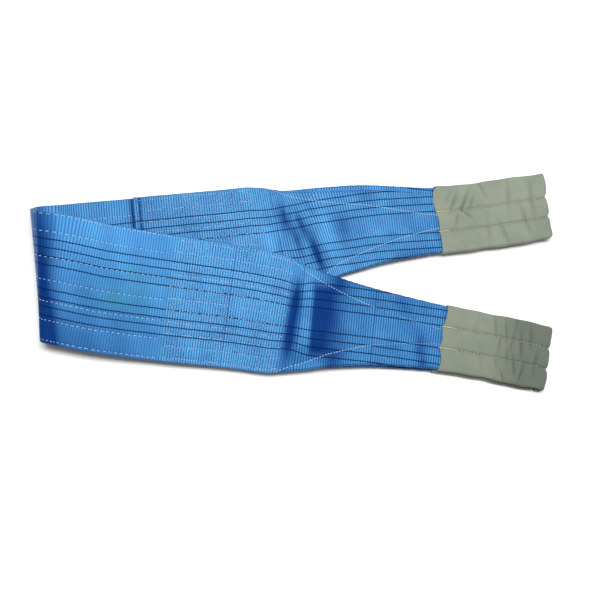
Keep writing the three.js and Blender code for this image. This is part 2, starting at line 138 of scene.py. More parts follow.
def spots(table, x, q):
    """Sum of soft spots: (amount, x centre, x width, q centre, q width)."""
    return sum(amount * bell(x, cx, wx) * bell(q, cq, wq) for amount, cx, wx, cq, wq in table)


def unit(v):
    return v / np.linalg.norm(v, axis=-1, keepdims=True)


# ---- the lie of a leg -------------------------------------------------------------
def centre_y(leg, x):
    return hermite(leg.x, leg.y, x)


def centre_z(leg, x):
    if leg.z:
        return hermite(leg.x, leg.z, x, flat=True)
    return 1.8 + 1.5 * smooth(60, 250, x)


def half_width(leg, x):
    return np.minimum(HALF, hermite(*zip(*leg.widths), x, flat=True))


def leg_frame(leg, x):
    """Centre, along, across and inward directions of a leg at x."""
    x = np.asarray(x, float)
    dy = centre_y(leg, x + 1.0) - centre_y(leg, x)
    dz = centre_z(leg, x + 1.0) - centre_z(leg, x)
    dy = dy * (0.5 + 0.5 * smooth(0, 40, x - BEND_X))
    one, zero = np.ones_like(x), np.zeros_like(x)
    along = unit(np.stack([one, dy, dz], -1))
    level = unit(np.stack([-dy, one, zero], -1))
    roll = np.radians(hermite(leg.x, leg.roll, x, flat=True))
    across = np.stack([level[..., 0] * np.cos(roll), level[..., 1] * np.cos(roll),
                       np.sin(roll)], -1)
    inward = unit(np.cross(along, across)) * leg.sign
    return np.stack([x, centre_y(leg, x), centre_z(leg, x)], -1), along, across, inward


def limb_gap(leg, x):
    return ROOT_GAP + (LIMB_GAP - ROOT_GAP) * smooth(leg.root - 5, leg.root + 210, x)


def off_edges(leg, x, v):
    return 1 - smooth(0.45, 0.95, np.abs(v) / half_width(leg, x))


def slack(leg, x, v):
    """Webbing that stands proud just past the splice, on the front leg's outer ply."""
    if leg is not FRONT:
        return np.zeros_like(x)
    rise = smooth(-27, 5, x) * (1 - smooth(8, 92, x))
    return off_edges(leg, x, v) * (8.6 * rise - 1.0 * bell(x, -21, 6) + 0.7 * bell(x, 112, 20))


def slack_return(leg, x, v):
    """The same on the back leg's returning ply, as slanting swells and four fine ripples."""
    if leg is not BACK:
        return np.zeros_like(x)
    lean = x + 16 * v / half_width(leg, x)
    swell = 3.4 * bell(lean, -36, 13) + 3.0 * bell(lean, 38, 14) + 1.2 * bell(lean, 118, 18)
    ripple = 0.75 * sum(bell(lean, centre, 2.2) for centre in (-8, -1, 6, 13))
    return off_edges(leg, x, v) * (swell + ripple)


def wave(leg, x, v):
    """Gentle unevenness shared by all plies of a leg, inwards positive."""
    w = (0.34 * np.sin(x / 31.0 + v / 52.0 + 0.7) + 0.26 * np.sin(x / 17.3 - v / 38.0 + 2.1)
         + 0.2 * np.sin(v / 23.0 + x / 90.0))
    quiet = smooth(BEND_X - 60, BEND_X + 60, x) * (1 - 0.8 * smooth(220, 285, x))
    if leg is BACK:
        return (w + 0.8) * quiet * 0.8
    return w * quiet * 1.1


# ---- painted shade attribute --------------------------------------------------------
# painted shade spots: (amount, x centre, x width, q centre, q width); amounts below 0 are painted
# highlights
FRONT_PAINTED_SHADE = [
    (0.55, 235, 11, -0.4, 0.42), (0.5, 243, 9, -0.9, 0.22),
    (0.32, 188, 32, 0.78, 0.26), (0.12, -160, 60, -0.55, 0.25)]
RETURN_PAINTED_SHADE = [
    (0.85, -20, 11, 0.42, 0.3), (0.8, -6, 8, -0.05, 0.3), (1.05, 20, 9, -0.42, 0.46),
    (0.75, 11, 7, 0.3, 0.28), (0.7, 86, 17, 0.1, 0.32), (-0.4, 52, 13, 0.1, 0.6),
    (-0.4, -54, 16, 0.1, 0.6), (0.42, 222, 32, -0.95, 0.22), (0.3, 150, 18, 0.95, 0.2)]


def front_painted_shade(x, q):
    a = np.abs(q)
    plus, minus = np.maximum(q, 0), np.maximum(-q, 0)
    # painted shade round the loop's bend, and darker towards the near side of the body
    fold_line = -467 - 14 * plus + 20 * minus + 12 * minus ** 2
    side = np.where(q > 0, 1 - smooth(0.25, 0.95, q), 1 - 0.6 * smooth(0.3, 1.0, -q))
    out = 1 - smooth(fold_line - 16, fold_line + 22, x)
    out = out + (0.2 - 0.34 * q) * (1 - smooth(-380, -200, x))
    # painted shade on the slopes round the slack past the splice
    out = out + 1.3 * bell(x, -18 + 3 * q, 12) * side
    out = out + 0.12 * bell(x, 5 + 13 * plus, 6) * (1 - smooth(0.55, 0.95, a))
    out = out + (1.08 * smooth(10, 23, x) * (1 - smooth(40, 116, x))
                 * (1 - smooth(0.58, 0.88, a)))
    out = out + bell(x, 66, 22) * smooth(0.55, 0.85, a)
    # painted shade along the eye, with a painted shadow at the sleeve's mouth
    out = out + 0.22 * smooth(70, 110, x) + 0.3 * bell(x, 284, 9)
    # painted shade spots at the eye's fold edges and near the sleeve
    return out + spots(FRONT_PAINTED_SHADE, x, q) - 0.06


def shade(leg, kind, x, q):
    """Painted shade: how far the sheen is painted off on the webbing's slopes, folds and hollows;
    below 0 a painted highlight, 1 deepest.

    q is the place across, -1 to 1."""
    if leg is FRONT:
        out = front_painted_shade(x, q)
    elif kind == "ret":
        # painted shade on the returning ply's swells and slopes, with two painted highlights
        out = spots(RETURN_PAINTED_SHADE, x, q) + 0.05 + 0.1 * (1 - smooth(-190, -90, x))
        # painted shadow at the sleeve's mouth and in the stitch groove past the cut end
        out = out + 0.35 * bell(x, 286, 10) + 0.85 * bell(x, leg.splice + 11, 2.6)
    else:
        # painted shadow beside the returning ply's cut end, and painted shade inside the loop
        out = 0.9 * bell(x, leg.splice - 4, 4.5) + 0.5 * (1 - smooth(BEND_X - 60, BEND_X, x))
    # a slight uneven mottle over the painted shade
    out = out + 0.07 * np.sin(x / 19.0 + 2.0 * q) * np.sin(x / 47.0 - 3.1 * q + 1.0)
    return out + 0.05 * np.sin(x / 8.3 + 4.0 * q)


# ---- the loop between the legs ---------------------------------------------------------
def bend_mid(u, q):
    """Middle of the outer ply round the loop: u 0 at the back leg, 1 at the front; q across."""
    back_c, back_t, back_v, _ = leg_frame(BACK, np.float64(BEND_X))
    front_c, front_t, front_v, _ = leg_frame(FRONT, np.float64(BEND_X))
    back = back_c + back_v * (q * HALF)[..., None]
    front = front_c + front_v * (q * HALF)[..., None]
    reach = REACH + SKEW * q
    angle = math.pi * u
    share = (1 - np.cos(angle)) / 2
    y = cubic(u, back[..., 1], front[..., 1], -(back_t[1] / back_t[0]) * reach * math.pi,
              (front_t[1] / front_t[0]) * reach * math.pi)
    return np.stack([back[..., 0] + (front[..., 0] - back[..., 0]) * share
                     - reach * np.sin(angle), y,
                     back[..., 2] + (front[..., 2] - back[..., 2]) * share], -1)


def bend_point(u, q, n):
    e = 1e-3
    du = bend_mid(u + e, q) - bend_mid(u - e, q)
    dq = bend_mid(u, q + e) - bend_mid(u, q - e)
    return bend_mid(u, q) + unit(np.cross(dq, du)) * n[..., None]


LOOP_U = np.linspace(0, 1, 801)
loop_line = bend_mid(LOOP_U, np.zeros_like(LOOP_U))
ARC = np.concatenate([[0], np.cumsum(np.linalg.norm(np.diff(loop_line, axis=0), axis=1))])
LOOP = float(ARC[-1])


def bend_u(leg, x):
    d = BEND_X - x
    return np.interp(d if leg is BACK else LOOP - d, ARC, LOOP_U)


def u_at_angle(degrees):
    us = np.linspace(0, 1, 4001)
    zero = np.zeros_like(us)
    d = bend_mid(us + 1e-4, zero) - bend_mid(us - 1e-4, zero)
    return float(np.interp(degrees, np.degrees(np.arctan2(d[:, 2], -d[:, 0])), us))


# ---- points of the sling ------------------------------------------------------------------
def spot(leg, kind, x, v, n):
    """A point of the sling: kind "leg" is the outer ply's frame, "ret" the returning ply's."""
    x, v, n = np.broadcast_arrays(*[np.asarray(a, float) for a in (x, v, n)])
    on_leg = np.maximum(x, BEND_X)
    on_leg = on_leg + leg.pull * smooth(350, 490, on_leg)
    centre, _, across, inward = leg_frame(leg, on_leg)
    if kind == "leg":
        depth = n - slack(leg, on_leg, v)
        lateral = v
    else:
        depth = limb_gap(leg, on_leg) - n + slack_return(leg, on_leg, v)
        lateral = v + leg.shift * smooth(leg.root, leg.root + 180, on_leg)
    depth = depth + wave(leg, on_leg, v)
    p = centre + across * lateral[..., None] + inward * depth[..., None]
    loop = x < BEND_X
    if loop.any():
        p[loop] = bend_point(bend_u(leg, x[loop]), v[loop] / HALF,
                             n[loop] + wave(leg, x[loop], v[loop]))
    return p


def tip_centre_x(leg):
    return leg.tip - LIMB_GAP / 2 - TIP_INSET


def tip_spot(leg, turn, v, n, out):
    """Round the end of an eye: turn 0 on the outer ply, 1 on the returning ply."""
    centre, along, across, inward = leg_frame(leg, np.float64(tip_centre_x(leg)) + leg.pull)
    axis = centre + inward * (LIMB_GAP / 2)
    turn, v, n, out = np.broadcast_arrays(turn, v, n, out)
    radius = LIMB_GAP / 2 - n
    return (axis + across * (v + leg.shift * turn)[..., None]
            - inward * (radius * np.cos(math.pi * turn))[..., None]
            + along * (radius * np.sin(math.pi * turn) + out)[..., None])


def wrap_tip(leg, first, path, v, n, shift):
    """Rows out along one limb, round the tip and back; path is (out x, turn, back x)."""
    out_x, turn, back_x = path
    ends = [len(out_x), len(out_x) + len(turn)]
    v, n, shift = (np.split(a, ends) for a in (v, n, shift))
    second = "ret" if first == "leg" else "leg"
    around = turn if first == "leg" else 1 - turn
    return np.concatenate([
        spot(leg, first, out_x[:, None] + shift[0], v[0], n[0]),
        tip_spot(leg, around[:, None], v[1], n[1], shift[1]),
        spot(leg, second, back_x[:, None] + shift[2], v[2], n[2])])


def path_x(leg, path):
    return np.concatenate([path[0], np.full(len(path[1]), tip_centre_x(leg)), path[2]])


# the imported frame's origin in these coordinates
ORIGIN = (leg_frame(FRONT, np.float64(FRONT.root))[0]
          - np.array(JOINT["front_eye_swing"]["pos_m"]) * 1000.0)
ORIGIN[2] = 0.0


def metres(p):
    return (np.asarray(p, float) - ORIGIN) / 1000.0


# ---- mesh building --------------------------------------------------------------------
def signed_volume(co, quads):
    v = co[quads]
    return sum(np.einsum("ij,ij->i", v[:, 0], np.cross(v[:, j], v[:, j + 1])).sum()
               for j in (1, 2))


def outward(co, quads):
    return quads[:, ::-1] if signed_volume(co, quads) < 0 else quads


def flipped(quads):
    return quads[:, [0, 3, 2, 1]]


def tube_quads(rows, around, stride):
    row, col = np.meshgrid(np.arange(rows - 1), np.arange(around), indexing="ij")
    here = row * stride + col
    beside = row * stride + (col + 1) % around
    return np.stack([here, beside, beside + stride, here + stride], -1).reshape(-1, 4)


def make(name, co, quads, material, attrs=None, sharp=None):
    """Smooth mesh object of quads; edges between two sharp vertices stay sharp."""
    me = bpy.data.meshes.new(name)
    me.vertices.add(len(co))
    me.vertices.foreach_set("co", np.ascontiguousarray(co, dtype=np.float32).ravel())
    quads = np.ascontiguousarray(quads, dtype=np.int32)
    me.loops.add(quads.size)
    me.loops.foreach_set("vertex_index", quads.ravel())
    me.polygons.add(len(quads))
    me.polygons.foreach_set("loop_start", np.arange(0, quads.size, 4, dtype=np.int32))
    me.polygons.foreach_set("loop_total", np.full(len(quads), 4, dtype=np.int32))
    me.update(calc_edges=True)
    me.validate()
    me.polygons.foreach_set("use_smooth", np.ones(len(me.polygons), bool))
    if sharp is not None:
        ends = np.zeros(len(me.edges) * 2, np.int32)
        me.edges.foreach_get("vertices", ends)
        ends = ends.reshape(-1, 2)
        layer = (me.attributes.get("sharp_edge")
                 or me.attributes.new("sharp_edge", "BOOLEAN", "EDGE"))
        layer.data.foreach_set("value", sharp[ends[:, 0]] & sharp[ends[:, 1]])
    for key, value in (attrs or {}).items():
        layer = me.attributes.new(key, "FLOAT", "POINT")
        layer.data.foreach_set("value", np.ascontiguousarray(value, dtype=np.float32).ravel())
    piece = bpy.data.objects.new(name, me)
    bpy.context.scene.collection.objects.link(piece)
    piece.data.materials.append(material)
    return piece


def loft(name, top, low, attrs, material):
    """Closed sheet between two faces, each (rows, columns, 3); attrs are per row and column."""
    rings = np.concatenate([top, low[:, ::-1]], 1)
    rows, around = rings.shape[:2]
    co = metres(rings).reshape(-1, 3)
    j = np.arange(around // 2 - 1)
    cap = np.stack([j, around - 1 - j, around - 2 - j, j + 1], -1)
    quads = np.concatenate([tube_quads(rows, around, around), cap,
                            flipped(cap) + (rows - 1) * around])
    sharp = np.zeros(rows * around, bool)
    sharp[:around] = True
    sharp[-around:] = True
    both = {}
    for key, value in attrs.items():
        value = np.broadcast_to(value, top.shape[:2])
        both[key] = np.concatenate([value, value[:, ::-1]], 1)
    return make(name, co, outward(co, quads), material, both, sharp)


def stations(a, b):
    """Rows on every fifth of a rib between a and b, with a and b themselves."""
    step = PITCH / SUB
    k = np.arange(math.ceil((a + 0.3) / step), math.floor((b - 0.3) / step) + 1)
    return np.concatenate([[a], k * step, [b]])


def web_columns(rows, folded):
    """Places of the vertices across: crowded at the edges and round the sewing rows."""
    edge = [HALF - e for e in (0.0, 0.25, 0.9, 2.0, 4.0)]
    cols = set(edge) | {-e for e in edge}
    for s in rows:
        cols |= {s - 2.6, s - 1.0, s + 1.0, s + 2.6}
    cols |= set(np.linspace(-112, 112, 15))
    cols = np.array(sorted(c for c in cols if abs(c) <= HALF))
    keep = [0]
    for i in range(1, len(cols)):
        if cols[i] - cols[keep[-1]] > (0.7 if abs(cols[i]) < 114 else 0.2):
            keep.append(i)
    keep[-1] = len(cols) - 1
    s = cols[keep]
    if folded:   # finer where the edge of an eye turns in
        fine = np.round(np.linspace(40, 118, 40), 2)
        s = np.array(sorted(set(np.round(s, 2)) | set(fine) | set(-fine)))
    return s


def sheet(name, leg, kind, run, material, rows=(), depth=0.0, ribs=(1, 0.4), folded=True,
          tip=None):
    """A ply of webbing along run. Past the root its edges fold in to narrow the eye.

    rows are sewing rows that need columns; ribs the rib heights of its outer and inner face.
    tip, for a ply round an eye's end, holds the x of each row and a place function."""
    x = (tip.x if tip else run)[:, None]
    s = web_columns(rows, folded)[None, :]
    root = leg.root
    half_web = half_width(leg, np.maximum(x, BEND_X))
    # half of the web's length across, flap included, over its nominal half width
    scale = (half_web + (HALF - half_web) * smooth(root - 5, root + 50, x)) / HALF
    length = np.abs(s) * scale
    gap = limb_gap(leg, np.maximum(x, BEND_X))
    flap_half = np.clip((gap / 2 - 1.85) / 2, 0.9, T_WEB)
    radius = (T_WEB + 0.15 + flap_half) / 2
    turning = smooth(root - 10, root + 15, x)
    fold_v = np.where(turning > 0, half_web - radius * turning, 1e6)
    over = np.clip(length - fold_v, 0, None)
    phi = np.minimum(over / radius, math.pi)      # how far the edge has turned
    rest = np.clip(over - math.pi * radius, 0, None)
    sign = np.sign(s)
    v = (np.minimum(length, fold_v) + radius * np.sin(phi) - rest) * sign
    n = radius * (1 - np.cos(phi))
    normal_v, normal_n = np.sin(phi) * sign, -np.cos(phi)
    half_thick = T_WEB + (flap_half - T_WEB) * phi / math.pi
    edge = np.clip((HALF - np.abs(s)) / 1.5, 0, 1)
    rounding = np.sqrt(np.clip(1 - (1 - edge) ** 2, 0.02, 1))

    rib = 1 - np.abs(2 * np.mod(run / PITCH, 1.0) - 1) ** 3.0
    if not tip:
        rib[0] = 0.0
    rib[-1] = 0.0
    rib = rib[:, None]
    in_splice = (smooth(leg.splice - 2, leg.splice + 4, x)
                 * (1 - smooth(root - 8, root, x)))
    in_eye = smooth(root + 4, root + 30, x)
    # sewing pulls the faces in
    dimple = 0.35 * bell(np.abs(s), (2 * half_web - HALF + 9) / scale, 2.2) * in_eye
    for row in BODY_ROWS:
        dimple = dimple + 0.32 * bell(s, row, 2.0) * (x < leg.splice - 4)
    for row in SPLICE_ROWS:
        dimple = dimple + 0.3 * bell(s, row, 2.2) * in_splice
    crest = RIB * (0.55 + 0.55 * in_splice + 0.4 * in_eye) * (0.9 + 0.1 * np.sin(s / 7.0 + x / 13.0))
    if kind == "ret":      # the cut end is turned under once before it is sewn down
        n = n - 2.3 * (1 - smooth(1.0, 11.0, x - leg.splice)) + 0.5 * bell(x, leg.splice + 14, 5)

    def face(side, rib_height):
        off = side * rounding * (half_thick + rib_height * (crest * rib - dimple))
        face_v, face_n = v + normal_v * off, n + normal_n * off + depth
        return tip.place(face_v, face_n) if tip else spot(leg, kind, x, face_v, face_n)

    # the last attribute is the painted shade for the webbing materials
    attrs = {"wm": run[:, None], "ws": s, "rib": rib, "spl": in_splice, "eye": in_eye,
             "turn": phi / math.pi,
             "shade": shade(leg, "in" if depth else kind, x + 0 * v, v / half_web)}
    return loft(name, face(1, ribs[0]), face(-1, ribs[1]), attrs, material)


# ---- node materials ----------------------------------------------------------------
class Tree:
    """A material with one Principled shader, and short ways to add nodes."""

    def __init__(self, name):
        self.mat = bpy.data.materials.new(name)
        self.mat.use_nodes = True
        self.tree = self.mat.node_tree
        self.tree.nodes.clear()
        output = self.node("OutputMaterial")
        self.bsdf = self.node("BsdfPrincipled")
        self.tree.links.new(self.bsdf.outputs[0], output.inputs[0])

    def node(self, kind):
        return self.tree.nodes.new("ShaderNode" + kind)

    def put(self, socket, value):
        if isinstance(value, bpy.types.NodeSocket):
            self.tree.links.new(value, socket)
        elif isinstance(value, (tuple, list)) and len(value) == 3 and socket.type == "RGBA":
            socket.default_value = (*value, 1.0)
        else:
            socket.default_value = value

    def fill(self, node, values):
        for key, value in values.items():
            self.put(node.inputs[key], value)

    def set(self, name, value):
        self.put(self.bsdf.inputs[name], value)

    def attr(self, name):
        n = self.node("Attribute")
        n.attribute_name = name
        return n.outputs["Fac"]

    def calc(self, op, *values, clamp=False):
        n = self.node("Math")
        n.operation = op
        n.use_clamp = clamp
        self.fill(n, dict(enumerate(values)))
        return n.outputs[0]

    def times(self, a, b, clamp=False):
        return self.calc("MULTIPLY", a, b, clamp=clamp)

    def scale_add(self, value, scale, add):
        return self.calc("MULTIPLY_ADD", value, scale, add)

    def ramp(self, value, span, to=(0.0, 1.0)):
        n = self.node("MapRange")
        n.interpolation_type = "SMOOTHSTEP"
        self.fill(n, {"Value": value, "From Min": span[0], "From Max": span[1],
                      "To Min": to[0], "To Max": to[1]})
        return n.outputs["Result"]

    def mix(self, factor, a, b, blend="MIX"):
        n = self.node("Mix")
        n.data_type = "RGBA"
        n.blend_type = blend
        self.fill(n, {"Factor": factor, "A": a, "B": b})
        return n.outputs["Result"]

    def vec(self, x, y):
        n = self.node("CombineXYZ")
        self.fill(n, {0: x, 1: y})
        return n.outputs[0]

    def noise(self, vector, scale, detail=2.0):
        n = self.node("TexNoise")
        self.fill(n, {"Vector": vector, "Scale": scale, "Detail": detail})
        return n.outputs["Fac"]

    def web_noise(self, web, scales, detail):
        """Noise that follows the cloth; web is (along, across)."""
        return self.noise(self.vec(*map(self.times, web, scales)), scale=1.0, detail=detail)

    def position(self):
        return self.node("NewGeometry").outputs["Position"]

    def bump(self, height, strength, distance):
        n = self.node("Bump")
        self.fill(n, {"Height": height, "Strength": strength, "Distance": distance})
        self.set("Normal", n.outputs[0])


YARN = 1.55                          # width of a warp yarn
LINES = (22.3, 38.2, 54.0, 70.0)     # dark lines along the web, from its middle
LINE_COLOUR = (0.003, 0.014, 0.062)
FLECK_COLOUR = (0.27, 0.50, 0.76)
# painted shade colour: the tint below darkens and blues the webbing
PAINTED_SHADE_TINT = (0.12, 0.23, 0.44)       # multiplies the colour where the shade is deepest
EDGE_COLOUR = (0.03, 0.07, 0.12)
TEAL = (0.016, 0.185, 0.25)
# stains: (centre along, centre across, size along, size across, strength)
TEAL_PATCHES = ((-345.0, -17.0, 36.0, 21.0, 0.62), (-322.0, 36.0, 15.0, 13.0, 0.5),
                (-300.0, -2.0, 60.0, 40.0, 0.22))


def teal_patches(m, col, along, across, flow):
    for centre_along, centre_across, size_along, size_across, strength in TEAL_PATCHES:
        a = m.calc("POWER", m.calc("DIVIDE", m.calc("ADD", along, -centre_along), size_along),
                   2.0)
        b = m.calc("POWER", m.calc("DIVIDE", m.calc("SUBTRACT", across, centre_across),
                                   size_across), 2.0)
        patch = m.calc("EXPONENT", m.times(m.calc("ADD", a, b), -1.0))
        patch = m.times(patch, m.ramp(flow, span=(0.3, 0.6), to=(0.6, 1.0)))
        col = m.mix(m.times(patch, strength), col, TEAL)
    return col


def line_mask(m, along, across, crestness):
    wander = m.scale_add(m.noise(m.vec(m.times(along, 0.06), 0.0), scale=1.0, detail=1.0),
                         scale=1.6, add=-0.8)
    from_middle = m.calc("ADD", m.calc("ABSOLUTE", across), wander)
    mask = None
    for centre in LINES:
        away = m.calc("ABSOLUTE", m.calc("SUBTRACT", from_middle, centre))
        line = m.ramp(away, span=(0.85, 1.6), to=(1.0, 0.0))
        mask = line if mask is None else m.calc("MAXIMUM", mask, line)
    return m.times(mask, m.ramp(crestness, span=(0.0, 0.6), to=(1.0, 0.88)))


def webbing_material(name, crest, body, groove_shade, teal, flat):
    """Ribbed blue webbing with a painted sheen on the rib crests and painted shade in the rib
    grooves; flat is how deep the painted groove shade reads on the smooth stretches.
    """
    m = Tree(name)
    web = along, across = m.attr("wm"), m.attr("ws")
    rib, splice, eye, painted_shading = m.attr("rib"), m.attr("spl"), m.attr("eye"), m.attr("shade")
    # painted shade from the attribute: above 0 it darkens the colour, below 0 it gives a painted
    # highlight
    dark = m.times(painted_shading, 1.0, clamp=True)
    painted_highlight = m.times(painted_shading, -2.2, clamp=True)
    # uneven dye and handling marks
    flow = m.web_noise(web, scales=(0.02, 0.03), detail=3.0)
    fine = m.web_noise(web, scales=(0.25, 0.9), detail=2.0)
    fleck = m.web_noise(web, scales=(0.55, 0.6), detail=1.0)
    # warp yarns: ridges along the web, stepping half a yarn at every rib
    row = m.calc("FLOOR", m.calc("DIVIDE", along, PITCH))
    shift = m.times(m.calc("MODULO", m.calc("ABSOLUTE", row), 2.0), 0.5)
    yarn = m.calc("SINE", m.times(m.calc("ADD", m.calc("DIVIDE", across, YARN), shift),
                                  2 * math.pi))
    yarn_height = m.scale_add(yarn, scale=0.5, add=0.5)
    crestness = m.ramp(rib, span=(0.4, 1.0))
    # painted rib shading: painted shade in the grooves and a painted sheen on the crests, strongest
    # on the sewn splice and the eyes, faint on the smooth stretches and where the painted shade is
    # deep
    sewn = m.calc("MAXIMUM", splice, m.times(eye, 0.85))
    depth = m.calc("ADD", flat, m.times(sewn, 1.0 - flat))
    depth = m.times(depth, m.scale_add(dark, scale=-0.7, add=1.0))
    col = m.mix(m.times(m.calc("SUBTRACT", 1.0, crestness), depth), body, groove_shade)
    lift = m.times(crestness, m.ramp(flow, span=(0.3, 0.75), to=(0.4, 1.0)))
    col = m.mix(m.times(lift, m.scale_add(depth, scale=0.75, add=0.2)), col, crest)
    # painted shade between the warp yarns
    col = m.mix(m.times(m.calc("SUBTRACT", 1.0, yarn_height), 0.2), col, groove_shade)
    col = m.mix(m.ramp(fine, span=(0.45, 0.8), to=(0.0, 0.22)), col, crest)
    col = m.mix(m.times(m.ramp(fleck, span=(0.56, 0.70)), m.times(splice, 0.6)),
                col, FLECK_COLOUR)
    # painted highlight where the painted shade attribute is below 0
    col = m.mix(painted_highlight, col, m.mix(crestness, body, tuple(c * 1.25 for c in crest)))
    if teal:
        col = teal_patches(m, col, along, across, flow)
    # painted shade: darker and bluer where the attribute is above 0
    col = m.mix(dark, col, m.mix(1.0, col, PAINTED_SHADE_TINT, blend="MULTIPLY"))
    lines = line_mask(m, along, across, crestness)
    col = m.mix(lines, col, LINE_COLOUR)
    edge = m.ramp(m.calc("ABSOLUTE", across), span=(117.6, 119.8))
    m.set("Base Color", m.mix(m.times(edge, 0.55), col, EDGE_COLOUR))
    m.set("Roughness", m.ramp(fine, span=(0.2, 0.8), to=(0.30, 0.42)))
    gloss = m.times(m.ramp(flow, span=(0.2, 0.8), to=(0.76, 0.98)),
                    m.ramp(rib, span=(0.2, 0.95), to=(0.4, 1.0)))
    # the painted shade also takes off gloss and sheen
    gloss = m.times(gloss, m.scale_add(dark, scale=-0.92, add=1.0))
    gloss = m.times(gloss, m.scale_add(lines, scale=-0.8, add=1.0))
    m.set("Specular IOR Level", gloss)
    m.set("Specular Tint", (0.24, 0.68, 1.0))
    m.set("Sheen Weight", m.scale_add(dark, scale=-0.06, add=0.06))
    m.set("Sheen Roughness", 0.35)
    m.set("Sheen Tint", (0.45, 0.72, 1.0))
    fuzz = m.noise(m.position(), scale=2600.0)
    m.bump(m.calc("ADD", m.times(yarn, 0.6), m.times(fuzz, 0.8)),
           strength=0.45, distance=0.00022)
    return m.mat


CANVAS_THREAD = 0.95                 # weave pitch of the canvas
CANVAS_DULL, CANVAS = (0.196, 0.228, 0.170), (0.240, 0.270, 0.206)
CANVAS_WORN, CANVAS_STREAK = (0.265, 0.288, 0.225), (0.28, 0.30, 0.235)
CANVAS_HOLE, CANVAS_PINCH = (0.11, 0.13, 0.09), (0.10, 0.115, 0.08)
# what the tone darkens towards: towards the sleeve tips, and painted shade in the creases
CANVAS_DARK = (0.065, 0.082, 0.068)


def canvas_material():
    """Grey-green plain weave, darker at the sewn pinches and towards the sleeve tips, with painted
    shade in the crease hollows and a faint painted highlight on their ridges.
    """
    m = Tree("sleeve_canvas")
    web = m.attr("wm"), m.attr("ws")
    pos = m.position()
    big = m.noise(pos, scale=14.0, detail=3.0)
    mid = m.noise(pos, scale=75.0, detail=3.0)
    fine = m.web_noise(web, scales=(0.35, 1.1), detail=3.0)
    col = m.mix(m.ramp(big, span=(0.3, 0.7)), CANVAS_DULL, CANVAS)
    col = m.mix(m.ramp(mid, span=(0.4, 0.75), to=(0.0, 0.35)), col, CANVAS_WORN)
    col = m.mix(m.ramp(fine, span=(0.5, 0.75), to=(0.0, 0.3)), col, CANVAS_STREAK)
    weave = m.times(*[m.calc("SINE", m.times(c, 2 * math.pi / CANVAS_THREAD)) for c in web])
    col = m.mix(m.ramp(weave, span=(-0.2, 0.9), to=(0.0, 0.16)), col, CANVAS_HOLE)
    col = m.mix(m.times(m.attr("pinch"), 0.35), col, CANVAS_PINCH)
    # tone: darker towards the sleeve tips, painted shade in the crease hollows, painted highlight on
    # their ridges
    m.set("Base Color", m.mix(m.attr("tone"), col, CANVAS_DARK))
    m.set("Roughness", m.ramp(mid, span=(0.2, 0.8), to=(0.62, 0.78)))
    m.set("Specular IOR Level", 0.35)
    m.set("Sheen Weight", 0.18)
    m.set("Sheen Roughness", 0.5)
    fuzz = m.noise(pos, scale=900.0, detail=3.0)
    m.bump(m.calc("ADD", weave, m.times(fuzz, 1.2)), strength=0.5, distance=0.00018)
    return m.mat


def thread_material(name, light, dark):
    m = Tree(name)
    pos = m.position()
    patches = m.noise(pos, scale=420.0)
    twist = m.noise(pos, scale=1900.0, detail=1.0)
    m.set("Base Color", m.mix(m.ramp(patches, span=(0.35, 0.65)), dark, light))
    m.set("Roughness", 0.5)
    m.set("Sheen Weight", 0.2)
    m.bump(twist, strength=0.5, distance=0.0002)
    return m.mat


# rib colours: crest is a painted sheen on the rib tops, the groove colour painted shade in the rib
# grooves
GROOVE_SHADE = (0.005, 0.036, 0.17)
MAT_OUT = webbing_material("outer_webbing", crest=(0.056, 0.240, 0.52),
                           body=(0.026, 0.138, 0.40), groove_shade=GROOVE_SHADE, teal=True, flat=0.3)
MAT_IN = webbing_material("inner_webbing", crest=(0.066, 0.250, 0.52),
                          body=(0.028, 0.134, 0.375), groove_shade=GROOVE_SHADE, teal=False, flat=0.85)
MAT_CANVAS = canvas_material()
MAT_THREAD = thread_material("thread", light=(0.62, 0.72, 0.80), dark=(0.34, 0.48, 0.62))
MAT_CREAM = thread_material("sleeve_thread", light=(0.66, 0.61, 0.45), dark=(0.40, 0.39, 0.29))


# ---- zones about the joints, and pieces that stand in for CAD parts --------------------
def zone(joint, direction, before, after):
    """Start and end points of a soft bend about a joint, measured along direction."""
    p = np.array(JOINT[joint]["pos_m"])
    a = unit(np.array(JOINT[joint]["axis"], float))
    d = np.array(direction, float)
    d = unit(d - a * (d @ a))
    return tuple(p + d * before / 1000), tuple(p + d * after / 1000)


def eye_zones(leg):
    def at(joint, x, before, after):
        return zone(f"{leg.name}_eye_{joint}", leg_frame(leg, np.float64(x))[1], before, after)

    return SimpleNamespace(
        root=at("swing", leg.root, before=-2, after=20),
        throat=at("open", leg.throat, before=-12, after=26),
        outer_knee=at("outer_knee", leg.mid, before=-22, after=22),
        return_knee=at("return_knee", leg.mid - 20, before=-22, after=22),
        tip=at("tip_turn", leg.cut, before=-34, after=-2))


BEND_ANGLE = 36        # the loop's half turn is shared between five joints
BEND_JOINTS = ["fold_1", "fold_2", "fold_3", "fold_4", "fold"]


def bend_zone(k):
    """Bend line k (1 next to the back leg, 5 next to the front leg)."""
    u = u_at_angle(BEND_ANGLE * (k - 0.5))
    d = bend_mid(np.array([u + 1e-3]), np.zeros(1)) - bend_mid(np.array([u - 1e-3]), np.zeros(1))
    return zone(BEND_JOINTS[k - 1], d[0], before=-6, after=6)


def fit(piece, bend, stands_for=()):
    """Bake a piece's placement into its mesh and hide the CAD pieces it stands for."""
    if stands_for:
        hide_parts(*stands_for)
    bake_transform(piece)


# cuts between the loop's links, on whole ribs, in the back leg's x
CUT_X = [round((BEND_X - float(np.interp(u_at_angle(BEND_ANGLE * k), LOOP_U, ARC))) / PITCH)
         * PITCH for k in (1, 2, 3, 4)]

